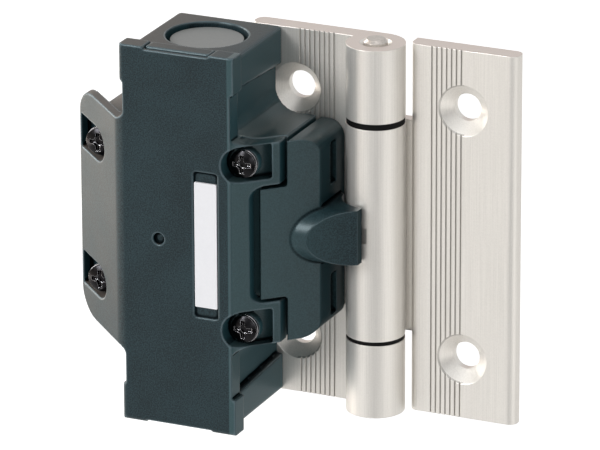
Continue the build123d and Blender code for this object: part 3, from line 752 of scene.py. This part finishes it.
def windSpring(p):
    sizes = p["sizes"]
    low, high = [Vector(corner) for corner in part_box("return_spring")[:2]]
    plan = Plan("springPlan", sizes)
    coil = plan.given("Coil Radius")
    values = {"Resolution": p["steps"], "Rotations": plan.given("Turns"), "Height": plan.given("Rise")}
    line = plan.add("GeometryNodeCurveSpiral", {}, {**values, "Start Radius": coil, "End Radius": coil})
    values = {"Resolution": p["sides"], "Radius": plan.given("Wire Radius")}
    ring = plan.add("GeometryNodeCurvePrimitiveCircle", {}, values)
    values = {"Curve": line, "Profile Curve": ring, "Fill Caps": True}
    body = plan.add("GeometryNodeCurveToMesh", {}, values)
    middle = (low + high) / 2
    start = plan.vector(low.x + sizes["Wire Radius"], middle.y, middle.z)
    laid = {"Geometry": body, "Rotation": (0.0, pi / 2, 0.0), "Translation": start}
    plan.deliver(plan.add("GeometryNodeTransform", {}, laid), finishes["spring_steel"])
    ready = plan.grow(bpy.data.meshes.new("springSeat"), sizes)
    piece = adopt(ready, "springWound", "fixed_side", "spring_steel", "return_spring")
    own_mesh(piece)
    print("spring wound,", len(ready.polygons), "faces")


windSpring(spring)


# Studio: soft lamps, a room that shows in reflections, and a floor with white cards in it

studio = {
    "lamps": [  # place, size, watts
        ((-1.2, -1.9, 1.2), 0.9, 40.0),
        ((0.9, -2.2, 0.4), 0.7, 4.0),
        ((-1.6, 0.3, 0.5), 1.0, 14.0),
        ((0.1, 0.2, 1.9), 1.4, 6.0),
    ],
    "lampTarget": (0.0, -0.02, 0.0),
    "world": 0.18,          # light from all round
    "roomFront": 0.16,      # the room in reflections: in front, then what each side adds
    "roomUp": 1.1,
    "roomBack": 0.9,
    "roomLeft": 0.5,
    "roomLeftFrom": 0.2,
    "roomPeak": 0.86,
    "warmFrom": 0.3,        # the left of the room is warmer
    "warmGain": 2.0,
}

floor = {
    "size": 14.0,
    "level": -0.16,         # the part is fixed to a frame, so the floor lies well under it
    "dark": (0.78, 0.78, 0.78, 1.0),
    "pale": (0.82, 0.82, 0.82, 1.0),
    "cloud": 3.0,
    "roughness": 0.8,
    "glow": 0.34,
    "seen": 0.2,            # added where the camera looks straight at it
    "low": 0.1,             # the floor in reflections, darkest under the camera
    "rise": 0.8,
    "riseGain": 3.4,
    "riseFrom": 0.4,
    "darkSpot": (0.22, -0.45, -0.16),
    "cards": [  # place, reach, gain
        ((0.45, -0.18, -0.16), 0.3, 3.0),
        ((-0.57, 0.27, -0.16), 0.26, 24.0),
        ((-0.47, -0.16, -0.16), 0.19, 34.0),
    ],
    "tint": (1.0, 0.98, 0.95, 1.0),
    "warmFrom": -0.25,
    "warmGain": 5.0,
}

white = (1.0, 1.0, 1.0, 1.0)
warmWhite = (1.0, 0.9, 0.8, 1.0)


def placeLamps(p):
    for count, (place, size, watts) in enumerate(p["lamps"]):
        data = bpy.data.lights.new("softbox%d" % count, "AREA")
        data.shape = "SQUARE"
        data.size = size
        data.energy = watts
        lamp = put("softbox%d" % count, data)
        lamp.location = place
        lamp.rotation_mode = "QUATERNION"
        lamp.rotation_quaternion = (Vector(p["lampTarget"]) - Vector(place)).to_track_quat("-Z", "Y")


def makeRoom(p):
    world = bpy.data.worlds.new("whiteRoom")
    scene.world = world
    world.use_nodes = True
    board = Board(world.node_tree)
    seen, mirrored, through = board.rays("Camera", "Glossy", "Transmission")
    right, back, up = board.split(board.add("ShaderNodeTexCoord", output="Generated"), "XYZ")
    left = -right
    room = up.over(0.0) * p["roomUp"] + back.over(0.0) * p["roomBack"]
    room = (room + left.over(p["roomLeftFrom"]) * p["roomLeft"] + p["roomFront"]).capped(p["roomPeak"])
    bare = (seen + through).capped(1.0)
    plain = (1 - bare - mirrored).over(0.0)
    warm = (left.over(p["warmFrom"]) * p["warmGain"] * mirrored).capped(1.0)
    background = world.node_tree.nodes["Background"]
    board.feed(background.inputs["Color"], board.blend(warm, white, warmWhite))
    board.feed(background.inputs["Strength"], bare + mirrored * room + plain * p["world"])


def makeFloor(p):
    half, level = p["size"] / 2, p["level"]
    corners = [(-half, -half), (half, -half), (half, half), (-half, half)]
    mesh = bpy.data.meshes.new("floor")
    mesh.from_pydata([(x, y, level) for x, y in corners], [], [(0, 1, 2, 3)])
    ground = put("floor", mesh)
    f = Finish("paleFloor")
    cloud = f.noise(p["cloud"])
    seen, mirrored = f.rays("Camera", "Glossy")
    f.set(Base_Color=f.between(cloud, (0.0, 1.0), p["dark"], p["pale"]), Roughness=p["roughness"])
    f.set(Emission_Color=white, Emission_Strength=seen * p["seen"] + p["glow"])
    apart = f.compare("DISTANCE", f.place, p["darkSpot"])
    lit = (apart * p["riseGain"]).over(p["riseFrom"]).capped(p["rise"]) + p["low"]
    for spot, reach, gain in p["cards"]:
        lit = lit + (reach - f.compare("DISTANCE", f.place, spot)).over(0.0) * gain
    warm = ((p["warmFrom"] - f.split(f.place, "X")[0]) * p["warmGain"]).clamped()
    glow = {"Color": f.blend(warm, p["tint"], warmWhite), "Strength": lit}
    f.cover(mirrored, f.add("ShaderNodeEmission", {}, glow))
    mesh.materials.append(f.material)


placeLamps(studio)
makeRoom(studio)
makeFloor(floor)
scene.view_settings.view_transform = "Standard"
print("studio lit")
